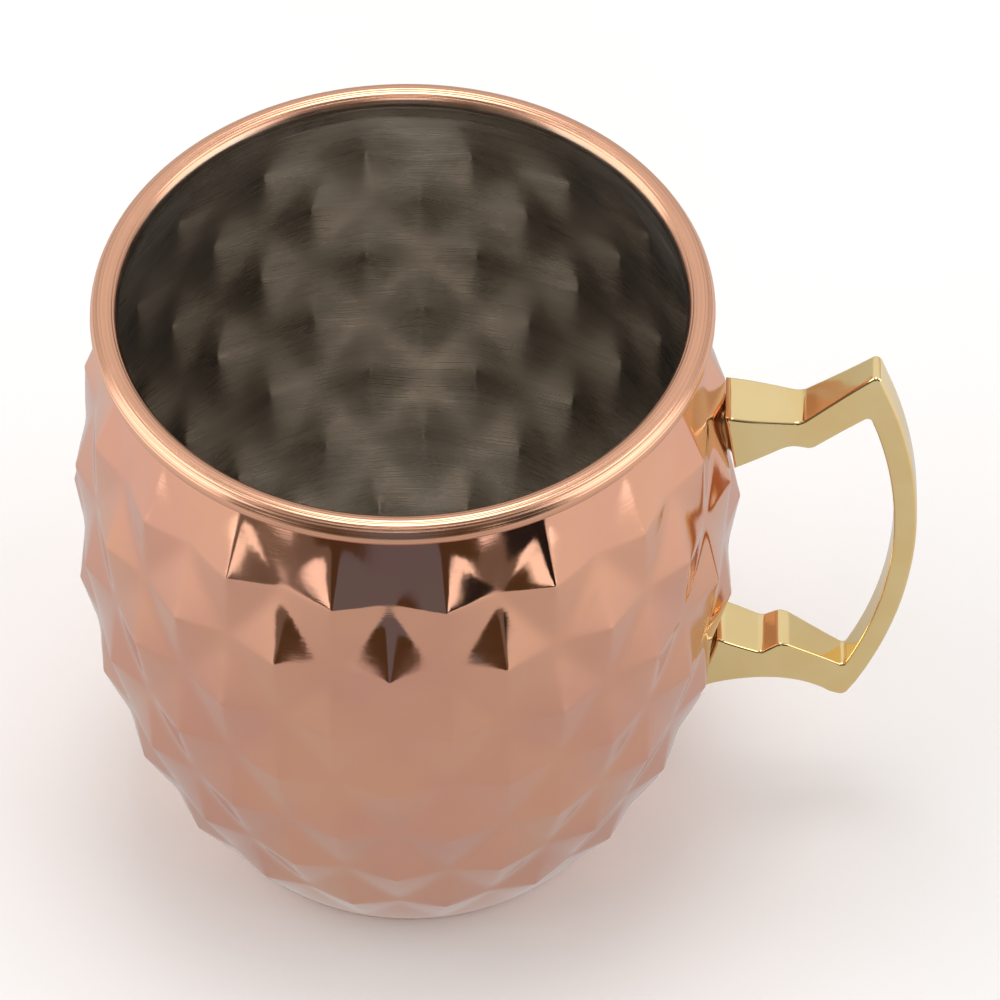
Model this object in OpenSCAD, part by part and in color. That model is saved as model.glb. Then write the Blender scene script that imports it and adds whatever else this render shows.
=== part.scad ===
// Barrel-shaped copper mug: a studded copper jacket over a steel liner,
// closed by a rolled copper rim, with a cast brass handle brazed to one side.
// Z is up, the origin is the centre of the base, and the handle points along +X.

/* [Body] */
// Height from the table to the top of the rim
height = 101; // [84:1:122]
// Radius of the barrel at its widest, between the studs
belly_r = 47; // [41:0.5:57]
// Height of the widest place above the table
belly_z = 57; // [46:1:66]
// Radius at the table, before the foot's corner is rounded
foot_r = 32; // [26:0.5:39]
// Radius of the opening, inside the rim
mouth_r = 40; // [33:0.5:41]
// How full the barrel's curve is, 2 being a parabola
barrel_curve = 2.2; // [1.8:0.1:2.7]
// Rounding of the corner under the foot
foot_round = 2.5; // [1.5:0.1:3.5]
// Length of the straight neck inside the rim
neck_len = 2.5; // [1.5:0.1:3.5]

/* [Skins] */
// Thickness of the copper jacket
copper_t = 0.35; // [0.2:0.05:0.6]
// Thickness of the steel liner
liner_t = 0.45; // [0.3:0.05:0.7]
// Gap between the two skins
skin_gap = 0.05; // [0.02:0.01:0.1]

/* [Rim] */
// Diameter of the rolled rim
rim_d = 4; // [3:0.1:5]
// Thickness of the rim's copper
rim_t = 0.5; // [0.3:0.05:0.7]
// Step from the rim's inner edge back to the liner
lip_step = 0.15; // [0.1:0.05:0.4]
// Clearance between the rim and the neck that it grips
rim_gap = 0.1; // [0.05:0.01:0.2]

/* [Studs] */
// Studs in each row
studs_round = 18; // [14:1:22]
// Height of a stud's point over the barrel
stud_h = 1.5; // [0.8:0.1:2]
// Length of a stud from its top corner to its bottom corner
stud_len = 17; // [13:0.5:20]
// Share of the row that the studs fill, the rest being plain
stud_fill = 0.77; // [0.5:0.01:0.85]
// Distance from one row to the next
row_pitch = 12.1; // [10.5:0.1:15]
// Distance from the top of the rim to the first row's points
first_row_drop = 15.7; // [13:0.1:20]
// Plain band kept above the foot
plain_foot = 3.5; // [2:0.1:8]

/* [Handle] */
// Distance from the top of the rim down to the middle of the handle
handle_drop = 46; // [40:0.5:48]
// Width of the handle where it meets the mug
foot_w = 8.4; // [6:0.1:10]
// Width of the handle's outer bow
bow_w = 4.7; // [3.5:0.1:6]
// Reach of the bow beyond the barrel
bow_reach = 27.2; // [22:0.1:34]
// Thickness of the bow at its middle
bow_t = 3.3; // [2.5:0.1:5]
// Radius of the bow's outer curve
bow_r = 82; // [60:1:110]
// Gap between the handle's feet and the barrel, between studs
foot_gap = 1; // [0.6:0.1:1.6]
// Least clearance between the handle and a stud
stud_clear = 0.08; // [0.05:0.01:0.2]
// Margin of the brazed joint inside the foot's edge
braze_inset = 0.8; // [0.4:0.1:1.5]
// Height of the upper foot
upper_foot_h = 10.6; // [8:0.1:12]
// Height of the lower foot
lower_foot_h = 11.4; // [9:0.1:12]

/* [Hidden] */
$fn = 96;

// Heights that follow from the sizes above
wall_top = height - rim_d / 2;
neck_z = wall_top - neck_len;
neck_r = mouth_r + lip_step + liner_t + skin_gap + copper_t;
first_row_z = height - first_row_drop;
half_len = stud_len / 2;
rows = floor((first_row_z - half_len - plain_foot) / row_pitch) + 1;
step = 360 / studs_round;
half_fill = step * stud_fill / 2;

// How far in from the jacket's outside each skin surface lies
jacket_in = copper_t;
liner_out = copper_t + skin_gap;
liner_in = liner_out + liner_t;

// Radius of the plain barrel at a height
function barrel_r(z) =
    z >= neck_z ? neck_r :
    z >= belly_z ? belly_r - (belly_r - neck_r) * pow((z - belly_z) / (neck_z - belly_z), barrel_curve) :
    belly_r - (belly_r - foot_r) * pow((belly_z - z) / belly_z, barrel_curve);

// The foot's corner is an arc that meets the barrel's lean at the table
foot_lean = atan((belly_r - foot_r) * barrel_curve / belly_z);
corner_turn = 90 - foot_lean;
corner_steps = 3;
base_flat_r = barrel_r(foot_round * (1 - cos(corner_turn))) - foot_round * sin(corner_turn);

function row_z(k) = first_row_z - k * row_pitch;
function row_turn(k) = k % 2 == 0 ? 0 : step / 2;
function at(a, r, z) = [r * cos(a), r * sin(a), z];

// Five points of one stud: its point, right, left, top and bottom corners
function stud_points(k, i, inset) =
    let (a = row_turn(k) + i * step, z = row_z(k), r = barrel_r(z) - inset)
    [at(a, r + stud_h, z),
     at(a + half_fill, r, z),
     at(a - half_fill, r, z),
     at(a, barrel_r(z + half_len) - inset, z + half_len),
     at(a, barrel_r(z - half_len) - inset, z - half_len)];

// Points midway between the studs of one row, at a height
function between_points(k, z, inset) =
    [for (i = [0:studs_round - 1]) at(row_turn(k) + (i + 0.5) * step, barrel_r(z) - inset, z)];

function ring_points(k, r, z) =
    [for (j = [0:2 * studs_round - 1]) at(row_turn(k) + j * step / 2, r, z)];

function corner_ring(turn, inset) =
    ring_points(rows - 1, base_flat_r + (foot_round - inset) * sin(turn),
                foot_round - (foot_round - inset) * cos(turn));

// Every point of one skin surface, from the studs outward to the neck and the base
function skin_points(inset) = concat(
    [for (k = [0:rows - 1]) for (i = [0:studs_round - 1]) each stud_points(k, i, inset)],
    between_points(0, row_z(-1) - half_len, inset),
    between_points(0, row_z(0) + half_len, inset),
    between_points(rows - 1, row_z(rows) + half_len, inset),
    between_points(rows - 1, row_z(rows - 1) - half_len, inset),
    ring_points(0, neck_r - inset, neck_z),
    ring_points(0, neck_r - inset, wall_top),
    [for (s = [corner_steps:-1:0]) each corner_ring(corner_turn * s / corner_steps, inset)]);

// Where each kind of point starts in that list
POINT = 0;
RIGHT = 1;
LEFT = 2;
TOP = 3;
BOTTOM = 4;
high_mid = 5 * rows * studs_round;
high_ring = high_mid + studs_round;
low_mid = high_ring + studs_round;
low_ring = low_mid + studs_round;
neck_ring = low_ring + studs_round;
top_ring = neck_ring + 2 * studs_round;
corner_ring_0 = top_ring + 2 * studs_round;
base_ring = corner_ring_0 + 2 * studs_round * corner_steps;
skin_count = base_ring + 2 * studs_round;

function wrap(i) = (i + studs_round) % studs_round;
function stud(k, i, which) = 5 * (k * studs_round + wrap(i)) + which;
// The stud of the next row, up or down, that stands half a step to the right
function right_of(k, i) = k % 2 == 0 ? i : i + 1;
function above(k, i) = k == 0 ? high_mid + wrap(i) : stud(k - 1, right_of(k, i), BOTTOM);
function below(k, i) = k == rows - 1 ? low_mid + wrap(i) : stud(k + 1, right_of(k, i), TOP);
// Points of the plain rings that run through the outermost corners
function high_at(j) = j % 2 == 0 ? stud(0, j / 2, TOP) : high_ring + wrap((j - 1) / 2);
function low_at(j) = j % 2 == 0 ? stud(rows - 1, j / 2, BOTTOM) : low_ring + wrap((j - 1) / 2);
function ring_at(start, j) = start + j % (2 * studs_round);

// Faces of a skin, counter-clockwise when seen from outside
function stud_faces(k, i) =
    let (p = stud(k, i, POINT), r = stud(k, i, RIGHT), l = stud(k, i, LEFT),
         t = stud(k, i, TOP), b = stud(k, i, BOTTOM))
    [[p, r, t], [p, t, l], [p, l, b], [p, b, r]];

function gap_faces(k, i) =
    let (r = stud(k, i, RIGHT), l = stud(k, i + 1, LEFT), u = above(k, i), d = below(k, i))
    [[r, d, u], [d, l, u]];

function strip_faces(k, i) =
    let (j = right_of(k, i), b = stud(k, i, BOTTOM), r = stud(k, i, RIGHT), l = stud(k, i, LEFT),
         right_top = stud(k + 1, j, TOP), right_left = stud(k + 1, j, LEFT),
         left_top = stud(k + 1, j - 1, TOP), left_right = stud(k + 1, j - 1, RIGHT))
    [[r, b, right_top], [b, right_left, right_top],
     [l, left_top, b], [left_top, left_right, b]];

function high_faces(i) =
    let (v = high_mid + i, u = high_ring + i, r = stud(0, i, RIGHT), t = stud(0, i, TOP),
         l = stud(0, i + 1, LEFT), t2 = stud(0, i + 1, TOP))
    [[r, v, u], [r, u, t], [l, t2, u], [l, u, v]];

function low_faces(i) =
    let (v = low_mid + i, u = low_ring + i, last = rows - 1,
         r = stud(last, i, RIGHT), b = stud(last, i, BOTTOM),
         l = stud(last, i + 1, LEFT), b2 = stud(last, i + 1, BOTTOM))
    [[r, b, u], [r, u, v], [l, v, u], [l, u, b2]];

function band_faces(a, a2, b, b2) = [[a, a2, b2], [a, b2, b]];

skin_faces = [
    for (k = [0:rows - 1]) for (i = [0:studs_round - 1]) each concat(
        stud_faces(k, i), gap_faces(k, i), k < rows - 1 ? strip_faces(k, i) : []),
    for (i = [0:studs_round - 1]) each concat(high_faces(i), low_faces(i)),
    for (j = [0:2 * studs_round - 1]) each concat(
        band_faces(high_at(j), high_at(j + 1), ring_at(neck_ring, j), ring_at(neck_ring, j + 1)),
        band_faces(ring_at(neck_ring, j), ring_at(neck_ring, j + 1),
                   ring_at(top_ring, j), ring_at(top_ring, j + 1)),
        band_faces(ring_at(corner_ring_0, j), ring_at(corner_ring_0, j + 1), low_at(j), low_at(j + 1))),
    for (s = [0:corner_steps - 1]) for (j = [0:2 * studs_round - 1]) each
        let (hi = corner_ring_0 + 2 * studs_round * s, lo = hi + 2 * studs_round)
        band_faces(ring_at(lo, j), ring_at(lo, j + 1), ring_at(hi, j), ring_at(hi, j + 1)),
    [for (j = [2 * studs_round - 1:-1:0]) base_ring + j]];

function flipped(faces) = [for (f = faces) [for (i = [len(f) - 1:-1:0]) f[i]]];
function shifted(faces, by) = [for (f = faces) [for (i = f) i + by]];

// A skin between two depths: the outer surface, the inner one and the edge that joins them
module skin(outer_in, inner_in) {
    edge = [for (j = [0:2 * studs_round - 1]) each band_faces(
        ring_at(top_ring, j), ring_at(top_ring, j + 1),
        ring_at(top_ring, j) + skin_count, ring_at(top_ring, j + 1) + skin_count)];
    polyhedron(
        points = concat(skin_points(outer_in), skin_points(inner_in)),
        faces = concat(flipped(skin_faces), shifted(skin_faces, skin_count), flipped(edge)),
        convexity = 10);
}

// The whole mug as a plug, grown by a clearance, for cutting what meets its outside
module mug_plug(grow) {
    polyhedron(
        points = skin_points(-grow),
        faces = concat(flipped(skin_faces), [[for (j = [2 * studs_round - 1:-1:0]) top_ring + j]]),
        convexity = 10);
}

module copper_jacket() {
    color([0.85, 0.56, 0.45]) skin(0, jacket_in);
}

module steel_liner() {
    color([0.55, 0.53, 0.5]) skin(liner_out, liner_in);
}

// A rolled tube whose inner side is seated on the tops of both skins
rim_sides = 48;
module rolled_rim() {
    r = rim_d / 2;
    neck_side = neck_r + rim_gap;
    color([0.86, 0.58, 0.44]) rotate_extrude()
        difference() {
            translate([mouth_r + r, wall_top]) circle(r, $fn = rim_sides);
            intersection() {
                translate([mouth_r + r, wall_top]) circle(r - rim_t, $fn = rim_sides);
                translate([neck_side + rim_t, wall_top - rim_d]) square(2 * rim_d);
            }
            translate([mouth_r - rim_d, wall_top - rim_d])
                square([neck_side - mouth_r + rim_d, rim_d]);
        }
}

// Handle outline: x is measured from the barrel's widest place, z from the handle's middle
handle_z = height - handle_drop;
upper_top_z = 26.9;
lower_top_z = -21.5;
function foot_x(z) = barrel_r(handle_z + z) + foot_gap - belly_r;

// A corner cut round: the arc's points between the lines through a, corner and b
function unit(v) = v / norm(v);
function rounded(a, corner, b, r, steps = 6) =
    let (u = unit(a - corner), w = unit(b - corner),
         half = acos(u * w) / 2,
         back = r / tan(half),
         centre = corner + unit(u + w) * r / sin(half),
         from = corner + u * back - centre,
         to = corner + w * back - centre,
         side = cross([from.x, from.y, 0], [to.x, to.y, 0]).z > 0 ? 1 : -1,
         turn = 180 - 2 * half)
    [for (s = [0:steps]) let (t = side * turn * s / steps)
        centre + [from.x * cos(t) - from.y * sin(t), from.x * sin(t) + from.y * cos(t)]];

// Points of an arc about a centre on the z = mid line, from one height to another
function arc_by_height(centre, r, z0, z1, steps) =
    let (a0 = asin((z0 - centre.y) / r), a1 = asin((z1 - centre.y) / r))
    [for (s = [0:steps]) let (a = a0 + (a1 - a0) * s / steps) centre + r * [cos(a), sin(a)]];

// Points of an arc that bulges up between two ends by a rise
function arch(a, b, rise, steps) =
    let (half = norm(b - a) / 2, r = (half * half + rise * rise) / (2 * rise),
         up = unit([a.y - b.y, b.x - a.x]) * (b.x > a.x ? 1 : -1),
         centre = (a + b) / 2 - up * (r - rise),
         turn = asin(half / r))
    [for (s = [1:steps - 1]) let (t = turn * (2 * s / steps - 1), along = unit(b - a))
        centre + r * (up * cos(t) + along * sin(t))];

// The bow's two curves: the inner one is tighter, so the bow thins towards its ends
outer_mid_z = 1.5;
inner_mid_z = 0.5;
inner_tighter = 8;
inner_r = bow_r - inner_tighter;
outer_centre = [bow_reach - bow_r, outer_mid_z];
inner_centre = [bow_reach - bow_t - inner_r, inner_mid_z];
function bow_x(z) = outer_centre.x + sqrt(bow_r * bow_r - pow(z - outer_centre.y, 2));
function inner_x(z) = inner_centre.x + sqrt(inner_r * inner_r - pow(z - inner_centre.y, 2));

// Heights of the handle's corners, and the places of its dips and bumps
peak_z = 34.6;
heel_z = -35.6;
armpit_z = 25.8;
crook_z = -28.8;
top_dip = [9.6, 25.3];
under_dip = [11.3, 19.7];
under_crest = [8.2, 20.8];
low_notch = [5.4, -24.6];
low_bump = [8, -22.8];
low_bump_end = [9.4, -23.2];

// How the tips leave the bow's curve, and how the heel's underside starts and arches
tip_flare = 0.2;
tip_run = 3;
heel_way = [-4, 1.6];
arch_start = [-1.6, 0.3];
arch_rise = 3.7;

// Roundings of the outline's corners
dip_round = 2.5;
peak_round = 0.9;
heel_round = 1.1;
notch_round = 1.2;
bump_round = 1.5;
inner_round = 0.6;
crest_round = 3;

peak = [bow_x(peak_z) + tip_flare, peak_z];
heel = [bow_x(heel_z) - tip_flare, heel_z];
armpit = [inner_x(armpit_z), armpit_z];
crook = [inner_x(crook_z), crook_z];
below_peak = [bow_x(peak_z - tip_run), peak_z - tip_run];
above_heel = [bow_x(heel_z + tip_run), heel_z + tip_run];
below_armpit = [inner_x(armpit_z - tip_run), armpit_z - tip_run];
above_crook = [inner_x(crook_z + tip_run), crook_z + tip_run];
upper_top = [foot_x(upper_top_z), upper_top_z];
upper_end_z = upper_top_z - upper_foot_h;
upper_end = [foot_x(upper_end_z), upper_end_z];
lower_top = [foot_x(lower_top_z), lower_top_z];
lower_end_z = lower_top_z - lower_foot_h;
lower_end = [foot_x(lower_end_z), lower_end_z];

handle_outline = concat(
    [upper_top],
    rounded(upper_top, top_dip, peak, dip_round),
    rounded(top_dip, peak, below_peak, peak_round),
    arc_by_height(outer_centre, bow_r, below_peak.y, above_heel.y, 16),
    rounded(above_heel, heel, heel + heel_way, heel_round),
    arch(heel + arch_start, lower_end, arch_rise, 8),
    [lower_end, lower_top],
    rounded(lower_top, low_notch, low_bump, notch_round),
    rounded(low_notch, low_bump, low_bump_end, bump_round, 3),
    rounded(low_bump, low_bump_end, crook, bump_round, 3),
    rounded(low_bump_end, crook, above_crook, inner_round),
    arc_by_height(inner_centre, inner_r, above_crook.y, below_armpit.y, 14),
    rounded(below_armpit, armpit, under_dip, inner_round),
    rounded(armpit, under_dip, under_crest, bump_round),
    rounded(under_dip, under_crest, upper_end, crest_round),
    [upper_end]);

// Turns a flat shape in x and z into a slab across y
module slab(width) {
    translate([belly_r, width / 2, handle_z]) rotate([90, 0, 0]) linear_extrude(width) children();
}

// Seen from above, the handle narrows from its feet to its bow
taper_end = 19;
plan_margin = 2;
feet_x = min(foot_x(upper_top_z), foot_x(upper_end_z), foot_x(lower_top_z), foot_x(lower_end_z));
function plan_w(x) = foot_w + (bow_w - foot_w) * x / taper_end;
module handle_plan() {
    start = feet_x - plan_margin;
    end = bow_reach + plan_margin;
    translate([belly_r, 0, 0]) linear_extrude(height + rim_d)
        polygon([[start, plan_w(start) / 2], [start, -plan_w(start) / 2],
                 [taper_end, -bow_w / 2], [end, -bow_w / 2],
                 [end, bow_w / 2], [taper_end, bow_w / 2]]);
}

module handle() {
    color([0.85, 0.72, 0.42]) difference() {
        intersection() {
            slab(2 * foot_w) polygon(handle_outline);
            handle_plan();
        }
        mug_plug(stud_clear);
    }
}

// Filler metal between a foot's end face and the jacket, drawn deep and trimmed to it
braze_bite = 1.5;
module braze(top, end) {
    along = unit(end - top);
    inward = [along.y, -along.x];
    a = top + along * braze_inset;
    b = end - along * braze_inset;
    depth = foot_gap + braze_bite;
    color([0.8, 0.66, 0.4]) difference() {
        slab(foot_w - 2 * braze_inset)
            polygon([a, b, b + inward * depth, a + inward * depth]);
        mug_plug(0);
    }
}

module upper_braze() {
    braze(upper_top, upper_end);
}

module lower_braze() {
    braze(lower_top, lower_end);
}

copper_jacket();
steel_liner();
rolled_rim();
handle();
upper_braze();
lower_braze();
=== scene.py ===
# %% [markdown]
# A studded copper mug, built on a frame that was made as a mechanical model first.
# The frame gives the true sizes and where each piece sits. Every piece that shows is
# built again here as a finer mesh in the same place, and then gets its own finish.

# %% Load the frame
import math

import bmesh
import bpy
import numpy as np
from mathutils import Matrix, Vector
from mathutils.geometry import delaunay_2d_cdt


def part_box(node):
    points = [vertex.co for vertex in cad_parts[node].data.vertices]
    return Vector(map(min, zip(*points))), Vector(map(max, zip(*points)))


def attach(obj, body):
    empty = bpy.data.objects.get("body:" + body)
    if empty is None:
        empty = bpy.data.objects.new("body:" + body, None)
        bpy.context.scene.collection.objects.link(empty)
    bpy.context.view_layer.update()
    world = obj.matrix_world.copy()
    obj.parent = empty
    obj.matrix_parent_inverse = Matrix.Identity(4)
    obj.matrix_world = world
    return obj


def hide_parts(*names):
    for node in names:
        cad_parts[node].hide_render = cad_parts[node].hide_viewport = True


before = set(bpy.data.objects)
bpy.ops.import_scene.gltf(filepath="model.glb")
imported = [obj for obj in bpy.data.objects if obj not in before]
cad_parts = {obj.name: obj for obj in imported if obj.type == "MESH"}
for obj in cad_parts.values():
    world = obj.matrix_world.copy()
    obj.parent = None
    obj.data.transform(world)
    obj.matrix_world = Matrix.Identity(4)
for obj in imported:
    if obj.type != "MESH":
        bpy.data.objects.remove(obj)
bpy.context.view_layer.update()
MM = 0.001

# %% [markdown]
# The camera looks down at the mug at about 48 degrees through a long lens, so the mouth
# shows as a wide ellipse and the sides hardly converge. A short lens close by would
# frame it too, but it would swell the rim and shrink the foot.

# %% Camera
CAMERA_LENS = 216
CAMERA_AZIMUTH = math.radians(2.3)
CAMERA_ELEVATION = math.radians(48.2)
CAMERA_ROLL = math.radians(-0.3)
CAMERA_DISTANCE = 880.4 * MM
LOOK_HEIGHT = 50 * MM
SIDEWAYS, UPWARDS = 13.5 * MM, 5.5 * MM
SEEN_FROM, SEEN_TO = 0.05, 20


def place_camera():
    """A camera turned round the mug, then slid sideways and up to frame the handle too."""
    a, e = CAMERA_AZIMUTH, CAMERA_ELEVATION
    back = Vector((math.sin(a) * math.cos(e), -math.cos(a) * math.cos(e), math.sin(e)))
    level = Vector((math.cos(a), math.sin(a), 0))
    lift = back.cross(level)
    right = level * math.cos(CAMERA_ROLL) + lift * math.sin(CAMERA_ROLL)
    up = lift * math.cos(CAMERA_ROLL) - level * math.sin(CAMERA_ROLL)
    middle = Vector((0, 0, LOOK_HEIGHT))
    place = middle + back * CAMERA_DISTANCE + right * SIDEWAYS + up * UPWARDS
    camera = bpy.data.objects.new("camera", bpy.data.cameras.new("camera"))
    bpy.context.scene.collection.objects.link(camera)
    camera.data.lens = CAMERA_LENS
    camera.data.clip_start, camera.data.clip_end = SEEN_FROM, SEEN_TO
    turn = Matrix((right, up, back)).transposed().to_4x4()
    camera.matrix_world = Matrix.Translation(place) @ turn
    bpy.context.scene.camera = camera
    return camera


camera = place_camera()
print("camera at", [round(v, 3) for v in camera.location], "lens", CAMERA_LENS)

# %% [markdown]
# The barrel is a turned shape, so one formula gives its radius at any height. The rim's
# size is read from the frame, and the rest are the sizes that the mug was drawn with.
# A formula is used rather than a traced outline, because it has no lumps in it, and
# polished metal shows every lump.

# %% Barrel
rim_low, rim_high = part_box("rolled_rim")
HEIGHT = rim_high.z
RIM_R = (rim_high.z - rim_low.z) / 2
MOUTH_R = rim_high.x - 2 * RIM_R
BELLY_R, BELLY_Z = 47 * MM, 57 * MM
FOOT_R, FOOT_ROUND = 32 * MM, 2.5 * MM
BARREL_CURVE = 2.2
NECK_IN, NECK_DROP = 1 * MM, 2.5 * MM
NECK_R = MOUTH_R + NECK_IN
WALL_TOP = HEIGHT - RIM_R
NECK_Z = WALL_TOP - NECK_DROP
COPPER_T, SKIN_GAP, LINER_T = 0.35 * MM, 0.05 * MM, 0.45 * MM
LINER_OUT = COPPER_T + SKIN_GAP
LINER_IN = LINER_OUT + LINER_T


def barrel_r(z):
    """Radius of the plain barrel at each height."""
    fall = np.clip(BELLY_Z - z, 0, None) / BELLY_Z
    rise = np.clip((z - BELLY_Z) / (NECK_Z - BELLY_Z), 0, 1)
    below = BELLY_R - (BELLY_R - FOOT_R) * fall**BARREL_CURVE
    above = BELLY_R - (BELLY_R - NECK_R) * rise**BARREL_CURVE
    return np.where(z > BELLY_Z, above, below)


FOOT_LEAN = math.atan((BELLY_R - FOOT_R) * BARREL_CURVE / BELLY_Z)
CORNER_TURN = math.pi / 2 - FOOT_LEAN
CORNER_Z = FOOT_ROUND * (1 - math.cos(CORNER_TURN))
BASE_R = float(barrel_r(np.array(CORNER_Z))) - FOOT_ROUND * math.sin(CORNER_TURN)
for name, size in (("height", HEIGHT), ("mouth radius", MOUTH_R), ("base radius", BASE_R)):
    print(name, round(size / MM, 1), "mm")


# %% [markdown]
# Each stud is a low pyramid that a punch pushed out from inside: four flat faces, two
# upright and two level creases, and a small sharp tip. Where neighbours meet, the faces
# run out in rounded valleys, and each level crease rises a little away from the tip. One
# formula gives that shape, a height that falls evenly with the distance from the tip,
# faster round the barrel than up it. Modelling 126 studs by hand, or copying one stud
# onto the wall, would leave seams between them.

# %% Studs
STUDS_ROUND = 18
STUD_ROWS = 7
STUD_H = 1.48 * MM
STUD_REACH_W, STUD_REACH_LEN = 6.7 * MM, 9.4 * MM
ROW_PITCH = 12.1 * MM
FIRST_ROW_DROP = 15.7 * MM
FIRST_ROW_Z = HEIGHT - FIRST_ROW_DROP
STEP = 2 * math.pi / STUDS_ROUND
RIDGE_RISE = 0.08
TIP_SHARE, TIP_FALL = 0.1, 0.15


def soft_size(x, softness):
    """The size of x, with its sharp corner at zero rounded off."""
    return np.sqrt(x * x + softness * softness) - softness


def stud_height(angle, z, softness):
    """How far the studs push the wall out at each angle and height.

    Softness is how wide the upright and the level creases are rounded at the tip, how
    much rounder they get away from it, and how gently the faces run out into the wall.
    """
    upright, level, spread, run_out = softness
    total = np.zeros(np.broadcast(angle, z).shape)
    around = barrel_r(z)
    for row in range(STUD_ROWS):
        first = STEP / 2 if row % 2 else 0
        nearest = (angle - first + STEP / 2) % STEP - STEP / 2
        above = z - (FIRST_ROW_Z - row * ROW_PITCH)
        for neighbour in (-1, 0, 1):
            aside = (nearest + neighbour * STEP) * around
            across = soft_size(aside, upright + spread * abs(above)) / STUD_REACH_W
            over_ridge = above - RIDGE_RISE * soft_size(aside, upright)
            along = soft_size(over_ridge, level + spread * abs(aside)) / STUD_REACH_LEN
            away = across + along
            face = run_out * np.logaddexp(0, (1 - away) / run_out)
            total += (1 - TIP_SHARE) * face + TIP_SHARE * np.exp(-away / TIP_FALL)
    return total * STUD_H


print(STUDS_ROUND * STUD_ROWS, "studs, rows every", round(ROW_PITCH / MM, 1), "mm")

# %% [markdown]
# A skin is a grid wrapped round the barrel. The grid lines run through the tips and
# creases of the studs, and they crowd together there, because that is where the metal
# turns fastest. An even grid of the same size would blur the creases. The rows start at
# the foot's rounded corner and end under the rim.

# %% Grid for the skins
HALF_STEP_CELLS, PITCH_CELLS = 12, 20
CORNER_CELLS, LOW_CELLS, HIGH_CELLS, NECK_CELLS = 8, 16, 20, 4
CROWDING = 0.6


def crowded(cells):
    """Places from 0 to 1 that crowd together at both ends."""
    t = np.arange(cells) / cells
    return t - CROWDING * np.sin(2 * math.pi * t) / (2 * math.pi)


def stretch(low, high, cells):
    """Crowded places between two values, without the last one."""
    return low + (high - low) * crowded(cells)


angles = np.concatenate(
    [stretch(k * STEP / 2, (k + 1) * STEP / 2, HALF_STEP_CELLS) for k in range(2 * STUDS_ROUND)]
)
row_heights = [FIRST_ROW_Z - k * ROW_PITCH for k in reversed(range(STUD_ROWS))]
wall_z = np.concatenate(
    [stretch(CORNER_Z, row_heights[0], LOW_CELLS)]
    + [stretch(a, b, PITCH_CELLS) for a, b in zip(row_heights, row_heights[1:])]
    + [stretch(row_heights[-1], NECK_Z, HIGH_CELLS)]
    + [np.linspace(NECK_Z, WALL_TOP, NECK_CELLS + 1)]
)
print(len(angles), "columns and", len(wall_z) + CORNER_CELLS, "rows")

# %% Points and directions of one skin surface
NUDGE = 0.01 * MM


def skin_surface(inset, softness):
    """Rows of points from the base up, and the way the metal faces at each of them."""
    a, z = angles[None, :], wall_z[:, None]

    def radius(a, z):
        return barrel_r(z) + stud_height(a, z, softness)

    r = radius(a, z)
    climb = (radius(a, z + NUDGE) - radius(a, z - NUDGE)) / (2 * NUDGE)
    turn = (radius(a + NUDGE / r, z) - radius(a - NUDGE / r, z)) / (2 * NUDGE)
    size = np.sqrt(1 + climb**2 + turn**2)
    out, up, side = 1 / size, -climb / size, -turn / size
    wall_r = r - inset
    wall = np.stack([wall_r * np.cos(a), wall_r * np.sin(a), z + 0 * a], -1)
    facing = np.stack(
        [out * np.cos(a) - side * np.sin(a), out * np.sin(a) + side * np.cos(a), up + 0 * a], -1
    )
    bend = CORNER_TURN * np.arange(CORNER_CELLS)[:, None] / CORNER_CELLS
    corner_r = BASE_R + (FOOT_ROUND - inset) * np.sin(bend)
    corner_z = FOOT_ROUND - (FOOT_ROUND - inset) * np.cos(bend)
    corner = np.stack([corner_r * np.cos(a), corner_r * np.sin(a), corner_z + 0 * a], -1)
    corner_facing = np.stack(
        [np.sin(bend) * np.cos(a), np.sin(bend) * np.sin(a), -np.cos(bend) + 0 * a], -1
    )
    return np.concatenate([corner, wall]), np.concatenate([corner_facing, facing])


# %% [markdown]
# The mesh is made from plain lists of points and faces. The sheet's hidden side only
# has to close the solid, so it takes every fourth line of the grid. The directions that
# the formula gives are stored with the points, and they make the reflections smoother
# than the faces alone would.

# %% Making a mesh
def make_piece(name, points, faces, facing=None):
    """An object from plain lists. Without stored directions, its faces are turned outward."""
    mesh = bpy.data.meshes.new(name)
    mesh.from_pydata([tuple(p) for p in points], [], faces)
    if facing is None:
        net = bmesh.new()
        net.from_mesh(mesh)
        bmesh.ops.recalc_face_normals(net, faces=net.faces)
        net.to_mesh(mesh)
        net.free()
    mesh.update()
    mesh.shade_smooth()
    if facing is not None:
        mesh.normals_split_custom_set_from_vertices([tuple(n) for n in facing])
    piece = bpy.data.objects.new(name, mesh)
    bpy.context.scene.collection.objects.link(piece)
    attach(piece, "root")
    return piece


# %% Grids and sheets
HIDDEN_EVERY = 4


def wrapped_faces(start, rows, columns, outward=True):
    """Quads of a grid that closes on itself sideways."""
    faces = []
    for i in range(rows - 1):
        for j in range(columns):
            a, b = start + i * columns + j, start + i * columns + (j + 1) % columns
            quad = (a, b, b + columns, a + columns)
            faces.append(quad if outward else quad[::-1])
    return faces


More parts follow.
